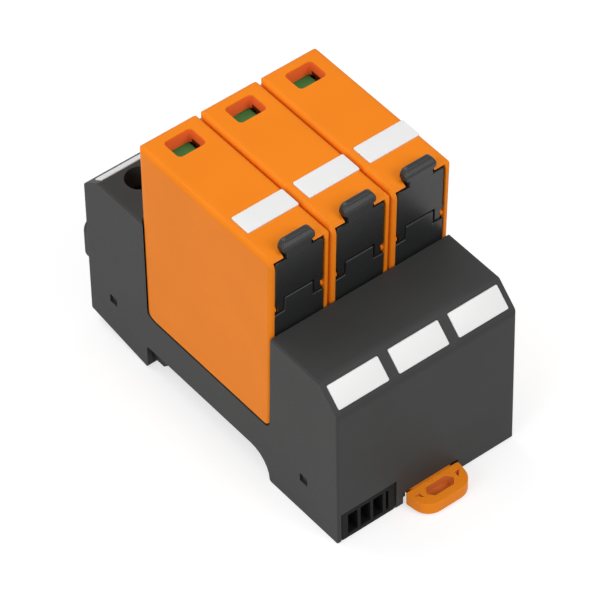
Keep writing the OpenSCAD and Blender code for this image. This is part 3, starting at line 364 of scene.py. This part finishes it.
def bumped(new, link, height, strength, distance, onto=None):
    """A bump from a height, laid on another bump if one is given."""
    node = new("ShaderNodeBump")
    node.inputs["Strength"].default_value = strength
    node.inputs["Distance"].default_value = distance
    link(height, node.inputs["Height"])
    if onto is not None:
        link(onto, node.inputs["Normal"])
    return node.outputs["Normal"]


def moulded(name, colour, roughness, grain, depth, mottle, specular=0.5):
    """Moulded plastic: spark-eroded grain, faint flow clouds in colour and gloss."""
    material, new, link, bsdf = shader(name)
    where = new("ShaderNodeTexCoord").outputs["Object"]
    clouds = noise(new, link, where, 70.0, 3.0)
    grains = noise(new, link, where, grain, 2.0, 0.6)
    waves = noise(new, link, where, 160.0, 2.0)
    link(tinted(new, link, clouds, colour, mottle), bsdf.inputs["Base Color"])
    link(ramp(new, link, grains, roughness - 0.06, roughness + 0.06), bsdf.inputs["Roughness"])
    soft = bumped(new, link, waves, 0.06, 0.0004)
    link(bumped(new, link, grains, depth, 0.00006, soft), bsdf.inputs["Normal"])
    bsdf.inputs["Specular IOR Level"].default_value = specular
    return material


def paint_shade_in_box(material, low, high, colour):
    """Paints shade into a finish: another, darker colour inside a box in millimetres, such as the foot's
    pockets.
    """
    new, link = material.node_tree.nodes.new, material.node_tree.links.new
    base = material.node_tree.nodes["Principled BSDF"].inputs["Base Color"]
    split = new("ShaderNodeSeparateXYZ")
    link(new("ShaderNodeTexCoord").outputs["Object"], split.inputs["Vector"])
    inside = []
    for axis, a, b in zip("XYZ", low, high):
        near = new("ShaderNodeMath")
        near.operation = "COMPARE"
        near.inputs[1].default_value = (a + b) / 2 * MM
        near.inputs[2].default_value = (b - a) / 2 * MM
        link(split.outputs[axis], near.inputs[0])
        inside.append(near.outputs["Value"])
    mix = new("ShaderNodeMix")
    mix.data_type = "RGBA"
    mix.inputs[MIX_B].default_value = (*colour, 1.0)
    link(folded(new, link, "MINIMUM", inside), mix.inputs[MIX_FACTOR])
    link(base.links[0].from_socket, mix.inputs[MIX_A])
    link(mix.outputs[MIX_RESULT], base)


def plated(name, colour, roughness, stretch, specks=0.1):
    """Plated or rolled metal: fine lines along one axis, cloudy tarnish and small pits."""
    material, new, link, bsdf = shader(name)
    where = new("ShaderNodeTexCoord").outputs["Object"]
    mapping = new("ShaderNodeMapping")
    mapping.inputs["Scale"].default_value = stretch
    link(where, mapping.inputs["Vector"])
    lines = noise(new, link, mapping.outputs["Vector"], 1.0, 3.0, 0.6)
    clouds = noise(new, link, where, 220.0, 3.0)
    pits = noise(new, link, where, 2500.0, 1.0)
    link(tinted(new, link, clouds, colour, specks), bsdf.inputs["Base Color"])
    link(ramp(new, link, lines, roughness - 0.08, roughness + 0.1), bsdf.inputs["Roughness"])
    lined = bumped(new, link, lines, 0.12, 0.00003)
    link(bumped(new, link, pits, 0.05, 0.00002, lined), bsdf.inputs["Normal"])
    bsdf.inputs["Metallic"].default_value = 1.0
    return material


def coated(name, colour, roughness, scale, coat):
    """Dipped or lacquered coat: soft dimples under a clear top layer."""
    material, new, link, bsdf = shader(name)
    where = new("ShaderNodeTexCoord").outputs["Object"]
    dimples = noise(new, link, where, scale, 3.0)
    link(tinted(new, link, dimples, colour, 0.15), bsdf.inputs["Base Color"])
    link(ramp(new, link, dimples, roughness - 0.05, roughness + 0.08), bsdf.inputs["Roughness"])
    link(bumped(new, link, dimples, 0.15, 0.0001), bsdf.inputs["Normal"])
    bsdf.inputs["Coat Weight"].default_value = coat
    bsdf.inputs["Coat Roughness"].default_value = 0.2
    return material


FINISHES = {}


class ARRESTER_OT_finishes(Operator):
    """Make the finishes and give one to every solid"""

    bl_idname = "arrester.finishes"
    bl_label = "Finishes"

    def execute(self, context):
        look = context.scene.arrester_finish
        # Plastics: colour, roughness, grain, depth of the grain, mottle, specular level
        FINISHES.update({
            "module_orange": moulded("orange_polyamide", look.orange, 0.42, look.grain, 0.16, 0.025, 0.07),
            "housing_grey": moulded("grey_polyamide", look.grey, 0.5, look.grain, 0.3, 0.05, 0.12),
            "latch_black": moulded("black_polyamide", look.black, 0.36, look.grain, 0.14, 0.08, 0.4),
            "inner_black": moulded("black_inner_plastic", look.black, 0.5, look.grain, 0.25, 0.08, 0.15),
            "label_white": moulded("white_marker", look.label, 0.45, look.grain * 1.6, 0.08, 0.015),
            "flag_green": moulded("green_flag", look.green, 0.4, look.grain, 0.1, 0.04),
            "trip_red": moulded("red_plate", look.red, 0.4, look.grain, 0.1, 0.04),
            "bar_copper": plated("rolled_copper", look.copper, 0.3, (4000.0, 120.0, 4000.0)),
            "terminal_steel": plated("zinc_plate", look.zinc, 0.32, (900.0, 900.0, 900.0)),
            "contact_tin": plated("tin_plate", scaled(look.zinc, 1.1), 0.28, (3000.0, 3000.0, 150.0)),
            "spring_steel": plated("spring_wire", scaled(look.zinc, 0.75), 0.25, (1500.0, 1500.0, 1500.0)),
            "varistor_blue": coated("epoxy_coat", (0.045, 0.085, 0.22), 0.3, 600.0, 0.4),
            "board_green": coated("solder_mask", (0.025, 0.13, 0.055), 0.35, 1500.0, 0.5),
        })
        for row in frame["record"]["subparts"]:
            solid = NODES[row["node"]]
            solid.data.materials.clear()
            solid.data.materials.append(FINISHES[row["material_slot"]])
        return {"FINISHED"}


class ARRESTER_OT_markers(Operator):
    """Marker plates: rounded oblongs with soft rims, on both slopes of the base and on the modules"""

    bl_idname = "arrester.markers"
    bl_label = "Marker plates"

    def execute(self, context):
        white = FINISHES["label_white"]
        edge = context.scene.arrester_detail.label_edge / MM
        wide, narrow = self.plate(3.2, edge), self.plate(1.7, edge)
        front_y, front_z, front_lean = -48.1, 39.6, 45.0
        front = [placed(wide, at(x, front_y, front_z, front_lean)) for x in POLES.values()]
        piece("front_markers", front, "base", white, ["front_labels"])
        slope_y, slope_z, down_slope = 39.2, 43.0, 2.2
        slope = at(0.0, slope_y, slope_z, -math.degrees(math.atan2(4.4, 6.3))) @ at(0.0, down_slope, 0.0)
        rear = [placed(narrow, at(x, 0.0, 0.0) @ slope) for x in POLES.values()]
        piece("rear_markers", rear, "base", white, ["rear_labels"])
        aside, module_y, module_z = 0.95, -13.4, 68.0
        for k, x in POLES.items():
            plate = placed(wide, at(x + aside, module_y, module_z))
            piece(f"module_marker_{k}", [plate], f"module_{k}", white, [f"module_label_{k}"])
        return {"FINISHED"}

    @staticmethod
    def plate(half_w, edge):
        """A plate of some half width on its seat, sunk in by 0.4."""
        half_l, corner, low, high = 7.5, 0.4, -0.4, 0.3
        return slab(rectangle(-half_l, half_l, -half_w, half_w, corner), low, high, edge)


class ARRESTER_OT_levers(Operator):
    """Release levers: oblong rings up the lever, with half width, front and back as functions of height"""

    bl_idname = "arrester.levers"
    bl_label = "Release levers"

    # Faces of the plate and the legs, in front of the pivot and behind it
    FRONT, BACK = -1.35, 0.85

    def execute(self, context):
        edge = context.scene.arrester_detail.lever_edge / MM
        parts = [self.plate(edge), self.leg(edge, 1), self.leg(edge, -1)]
        lean = math.degrees(math.atan2(2.2, 56.4))
        pivot_y, pivot_z = -25.321277, 50.6
        for k, x in POLES.items():
            leaned = [placed(part, at(x, pivot_y, pivot_z, lean)) for part in parts]
            made = piece(f"soft_lever_{k}", leaned, f"lever_{k}", FINISHES["latch_black"],
                         [f"release_lever_{k}"])
            made.modifiers.new("flat_faces", "WEIGHTED_NORMAL").keep_sharp = True
        return {"FINISHED"}

    def plate(self, edge):
        """From the bridge over the tower up to the head: round shoulders, a neck and a round head."""
        bridge_z, step_z, shoulder_z, head_z, top_z = 3.25, 12.9, 14.9, 18.8, 20.8
        plate_half, neck_half, head_half = 7.1, 3.7, 4.7
        shoulder_r, head_r = 1.0, 2.0
        low, t = np.linspace(0, math.pi / 2, 5), np.linspace(0, math.pi / 2, 12)
        z = np.concatenate([
            bridge_z + edge * (1 - np.cos(low)), [step_z], shoulder_z + shoulder_r * np.sin(t),
            [shoulder_z + shoulder_r, 17.7, 17.9, 18.2], head_z + head_r * np.sin(t)])
        half = np.concatenate([
            plate_half - edge * (1 - np.sin(low)), [plate_half], plate_half - shoulder_r * (1 - np.cos(t)),
            [neck_half, neck_half, 4.4, head_half], head_half - head_r * (1 - np.cos(t))])
        under = np.zeros(len(z))
        under[:len(low)] = edge * (1 - np.sin(low))
        front_round, back_round = (r - np.sqrt(r * r - np.clip(z - top_z + r, 0, r) ** 2) for r in (0.4, 0.5))
        front = np.interp(z, [top_z - 1.6, top_z - 0.4], [self.FRONT, -0.3]) + front_round + under
        back = np.interp(z, [step_z, shoulder_z], [self.BACK, 1.25]) - back_round - under
        return stacked(-half, half, front, back, z, edge)

    def leg(self, edge, side):
        """One leg beside the tower: round at its pivot end, wider above the boss, let into the plate."""
        inner_x, low_x, high_x = 4.45, 6.3, 7.09
        t = np.linspace(0, math.pi / 2, 9)
        z = np.concatenate([-0.2 - np.cos(t), [1.6, 2.2, 3.3 + edge]])
        out = np.concatenate([np.full(len(t), low_x), [low_x, high_x, high_x]])
        end = np.concatenate([1 - np.sin(t), [0, 0, 0.01]])
        inner = np.full(len(z), inner_x)
        near, far = (inner, out) if side > 0 else (-out, -inner)
        return stacked(near, far, self.FRONT + end, self.BACK - end, z, edge / 2)


class ARRESTER_OT_linings(Operator):
    """Window linings: thin walls round each window's well, an outline carried straight up, in a painted glow
    of orange with painted shade low on each well's right-hand wall
    """

    bl_idname = "arrester.linings"
    bl_label = "Window linings"

    def execute(self, context):
        look = context.scene.arrester_finish
        # Painted glow on the linings, standing in for light through the orange plastic
        glow_and_shade_finish = moulded("painted_glow_orange", look.painted_glow, 0.4, look.grain, 0.1, 0.03, 0.16)
        painted_shade, shade_top_z = scaled(look.painted_glow, 0.12), 65.0
        left, right, front, back, corner = -3.6, 4.6, 12.9, 19.4, 1.1
        low, high, wall = 63.85, 67.75, 0.06
        for k, x in POLES.items():
            # Painted shade: darker lining on the lower part of each well's right-hand wall
            shade_box = (x + right - 0.2, front - 0.2, low - 0.05), (x + right + 0.1, back + 0.1, shade_top_z)
            paint_shade_in_box(glow_and_shade_finish, *shade_box, painted_shade)
            well = rectangle(x + left, x + right, front, back, corner)
            piece(f"window_glow_lining_{k}", [tube(well, wall, low, high)], f"module_{k}", glow_and_shade_finish)
        return {"FINISHED"}


class ARRESTER_OT_springs(Operator):
    """Coil springs: round wire along a helix, with a flat turn at each end"""

    bl_idname = "arrester.springs"
    bl_label = "Springs"

    def execute(self, context):
        turns = context.scene.arrester_detail.spring_turns
        made = self.spring("foot_spring", "base", turns, wire=0.5)
        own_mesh(made)
        for k in POLES:
            self.spring(f"trip_spring_{k}", f"module_{k}", turns, wire=0.4)
        return {"FINISHED"}

    @staticmethod
    def spring(node, body, turns, wire):
        """A coil in the room of a solid, along Y."""
        low, high = (np.array(corner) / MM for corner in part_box(node))
        middle = (low + high) / 2
        part = coil((high[0] - low[0] - wire) / 2, wire, low[1], high[1], turns)
        return piece("wire_" + node, [placed(part, at(middle[0], 0.0, middle[2]))], body,
                     FINISHES["spring_steel"], [node])


class ARRESTER_OT_screws(Operator):
    """Clamping screws: a thread as a triangle wave of height and turn, and a head with a cross in it"""

    bl_idname = "arrester.screws"
    bl_label = "Clamping screws"

    def execute(self, context):
        detail = context.scene.arrester_detail
        axis_y, shank_r, head_r = 34.2, 2.5, 3.7
        shank = self.shank(shank_r, detail.thread_depth / MM, detail.thread_pitch / MM)
        head = self.head(head_r)
        for k, x in POLES.items():
            parts = [placed(part, at(x, axis_y, 0.0)) for part in (shank, head)]
            piece(f"threaded_screw_{k}", parts, f"screw_{k}", FINISHES["terminal_steel"],
                  [f"terminal_screw_{k}"])
        return {"FINISHED"}

    @staticmethod
    def shank(radius, depth, pitch):
        """From the tip up into the head, the thread fading out at either end."""
        tip_z, thread_z, end_z, chamfer = 22.3, 32.6, 33.4, 0.6
        heights = np.arange(tip_z, end_z, pitch / 8)
        z, a = np.meshgrid(heights, np.linspace(0, TURN, 48, endpoint=False), indexing="ij")
        wave = np.abs(2 * ((z / pitch - a / TURN) % 1.0) - 1)
        fade = np.clip((z - tip_z) / pitch, 0, 1) * np.clip((thread_z - z) / pitch, 0, 1)
        r = radius - depth * wave * fade - np.clip(tip_z + chamfer - z, 0, None)
        return ringed(np.stack([r * np.cos(a), r * np.sin(a), z], axis=-1))

    @staticmethod
    def head(radius):
        """Cheese head: a side with eased rims, then a top that drops inside a cross."""
        top_z, depth, reach, half, fall = 36.0, 1.4, 2.9, 0.6, 0.1
        rim_r = radius - np.array([0.2, 0.0, 0.0, 0.1, 0.3])
        rim_z = np.array([32.8, 33.0, 35.7, 35.9, top_z])
        inner_r = np.linspace(radius - 0.4, 0.02, 56)
        r = np.concatenate([rim_r, inner_r])[:, None]
        z = np.concatenate([rim_z, np.full(len(inner_r), top_z)])[:, None]
        a = np.linspace(0, TURN, 160, endpoint=False)
        x, y = r * np.cos(a), r * np.sin(a)

        def arm(along, across):
            """1 inside an arm of the cross, falling to 0 at its sides."""
            lengthwise = np.clip((reach - np.abs(along)) / fall, 0, 1)
            return lengthwise * np.clip((half - np.abs(across)) / fall, 0, 1)

        drop = np.maximum(arm(x, y), arm(y, x))
        drop[:len(rim_r)] = 0
        return ringed(np.stack([x, y, z - depth * drop], axis=-1))


class ARRESTER_OT_edges(Operator):
    """Eased edges: the foot, the plug and the modules' front panels with their sharp edges rounded; the foot
    painted lighter with painted shade in its pockets, the plug painted darker and the panels painted lighter
    """

    bl_idname = "arrester.edges"
    bl_label = "Eased edges"

    # The foot's screwdriver recess and its two dimples, as boxes in millimetres, where painted shade darkens
    # the orange
    SHADED_POCKETS = (((-3.2, -56.8, -6.2), (5.6, -53.1, -3.6)), ((-5.7, -55.6, -4.3), (8.1, -53.4, -3.6)))

    def execute(self, context):
        width = context.scene.arrester_detail.moulded_edge
        look = context.scene.arrester_finish
        # Painted light: the front panels get a lighter copy of the black, making up for the shade they lie in
        lightened_panel = moulded("panel_black_lightened", scaled(look.black, 1.6), 0.38, look.grain, 0.14, 0.08, 0.4)
        # Painted light: the foot's orange is lighter than the modules' to make up for the light that the base
        # keeps off it
        foot = moulded("lit_foot_orange", look.foot, 0.42, look.grain, 0.16, 0.025, 0.07)
        for low, high in self.SHADED_POCKETS:
            # Painted shade: darker orange inside the foot's pockets and dimples
            paint_shade_in_box(foot, low, high, look.pocket_shade)
        eased("rail_foot", "foot", width * 0.6, foot)
        # Painted shade: the plug gets a darker copy of the black
        darkened_plug = moulded("plug_black_darkened", scaled(look.black, 0.9), 0.5, look.grain, 0.25, 0.08, 0.06)
        eased("signal_plug", "plug", width * 0.7, darkened_plug)
        for k in POLES:
            eased(f"module_carrier_{k}", f"module_{k}", width * 1.2, lightened_panel)
        return {"FINISHED"}


class ARRESTER_OT_stage(Operator):
    """Floor, soft lights and the camera at the photograph's angle"""

    bl_idname = "arrester.stage"
    bl_label = "Stage"

    def execute(self, context):
        scene = context.scene
        scene.view_settings.view_transform = "Standard"
        self.world(scene)
        self.floor()
        aim = Vector((0.0, 0.0, 0.03))
        for name, place, size, watts in (
            ("left_softbox", (-1.3, -0.2, 0.7), 1.0, 8.7),
            ("front_softbox", (0.4, -1.2, 1.1), 0.8, 10.2),
            ("top_softbox", (-0.2, 0.8, 1.35), 0.9, 7.0),
        ):
            self.softbox(name, Vector(place), aim, size, watts)
        self.camera(scene)
        return {"FINISHED"}

    @staticmethod
    def by_ray(new, link, lighting, seen):
        """One value for light that falls on things, another for camera, glossy and transmission rays."""
        path = new("ShaderNodeLightPath")
        rays = [path.outputs[ray] for ray in ("Is Camera Ray", "Is Glossy Ray", "Is Transmission Ray")]
        node = new("ShaderNodeMapRange")
        node.inputs["To Min"].default_value = lighting
        node.inputs["To Max"].default_value = seen
        link(folded(new, link, "MAXIMUM", rays), node.inputs["Value"])
        return node.outputs["Result"]

    def world(self, scene):
        """White to the eye and in reflections, a dimmer grey as light."""
        world = bpy.data.worlds.new("studio")
        world.use_nodes = True
        scene.world = world
        tree = world.node_tree
        back = tree.nodes["Background"]
        back.inputs["Color"].default_value = (1.0, 1.0, 1.0, 1.0)
        strength = self.by_ray(tree.nodes.new, tree.links.new, lighting=0.38, seen=1.0)
        tree.links.new(strength, back.inputs["Strength"])

    def floor(self):
        """Round white floor under the object, lifted to white for the camera where no shadow falls."""
        material, new, link, bsdf = shader("pale_floor")
        bsdf.inputs["Base Color"].default_value = (0.5, 0.5, 0.5, 1.0)
        bsdf.inputs["Roughness"].default_value = 0.9
        bsdf.inputs["Emission Color"].default_value = (1.0, 1.0, 1.0, 1.0)
        link(self.by_ray(new, link, lighting=0.0, seen=0.62), bsdf.inputs["Emission Strength"])
        radius, sides, gap = 3.0, 96, 0.0002
        ring = np.linspace(0, TURN, sides, endpoint=False)
        low = np.full(sides, CAD_BOX[0][2] - gap)
        disc = np.column_stack([radius * np.cos(ring), radius * np.sin(ring), low])
        mesh = bpy.data.meshes.new("floor")
        mesh.from_pydata(disc.tolist(), [], [list(range(sides))])
        mesh.materials.append(material)
        made = bpy.data.objects.new("floor", mesh)
        bpy.context.scene.collection.objects.link(made)

    @staticmethod
    def softbox(name, place, aim, size, watts):
        """Square area lamp that faces the object."""
        lamp = bpy.data.lights.new(name, "AREA")
        lamp.size = size
        lamp.energy = watts
        made = bpy.data.objects.new(name, lamp)
        made.location = place
        made.rotation_mode = "QUATERNION"
        made.rotation_quaternion = (aim - place).to_track_quat("-Z", "Y")
        bpy.context.scene.collection.objects.link(made)

    @staticmethod
    def camera(scene):
        """Camera from its angles: azimuth 0 looks along +Y."""
        view = scene.arrester_stage
        a, e = math.radians(view.azimuth), math.radians(view.elevation)
        back = Vector((math.sin(a) * math.cos(e), -math.cos(a) * math.cos(e), math.sin(e)))
        data = bpy.data.cameras.new("camera")
        data.sensor_width = 36.0
        data.lens = view.focal / IMAGE_PX * data.sensor_width
        data.clip_start, data.clip_end = 0.05, 20.0
        made = bpy.data.objects.new("camera", data)
        turn = (-back).to_track_quat("-Z", "Y").to_matrix().to_4x4()
        made.matrix_world = (Matrix.Translation(Vector(view.place)) @ turn
                             @ Matrix.Rotation(math.radians(view.roll), 4, "Z"))
        scene.collection.objects.link(made)
        scene.camera = made


class ARRESTER_PT_panel(Panel):
    """Lists the steps that dress the arrester"""

    bl_label = "Surge Arrester"
    bl_idname = "ARRESTER_PT_panel"
    bl_space_type = "VIEW_3D"
    bl_region_type = "UI"
    bl_category = "Arrester"

    def draw(self, context):
        for operator in STEPS:
            self.layout.operator(operator.bl_idname)
        for group in SETTINGS:
            settings = getattr(context.scene, group)
            for key in settings.__annotations__:
                self.layout.prop(settings, key)


SETTINGS = {
    "arrester_finish": ArresterFinish,
    "arrester_detail": ArresterDetail,
    "arrester_stage": ArresterStage,
}
STEPS = (
    ARRESTER_OT_finishes, ARRESTER_OT_markers, ARRESTER_OT_levers, ARRESTER_OT_linings,
    ARRESTER_OT_springs, ARRESTER_OT_screws, ARRESTER_OT_edges, ARRESTER_OT_stage,
)
CLASSES = (*SETTINGS.values(), *STEPS, ARRESTER_PT_panel)


def register():
    """Registers the classes and the settings on the scene."""
    for made in CLASSES:
        bpy.utils.register_class(made)
    for name, group in SETTINGS.items():
        setattr(bpy.types.Scene, name, PointerProperty(type=group))


def unregister():
    """Takes the settings and the classes away again."""
    for name in SETTINGS:
        delattr(bpy.types.Scene, name)
    for made in reversed(CLASSES):
        bpy.utils.unregister_class(made)


def main():
    """Runs every step in order."""
    register()
    bpy.ops.arrester.finishes()
    bpy.ops.arrester.markers()
    bpy.ops.arrester.levers()
    bpy.ops.arrester.linings()
    bpy.ops.arrester.springs()
    bpy.ops.arrester.screws()
    bpy.ops.arrester.edges()
    bpy.ops.arrester.stage()


if __name__ == "__main__":
    main()
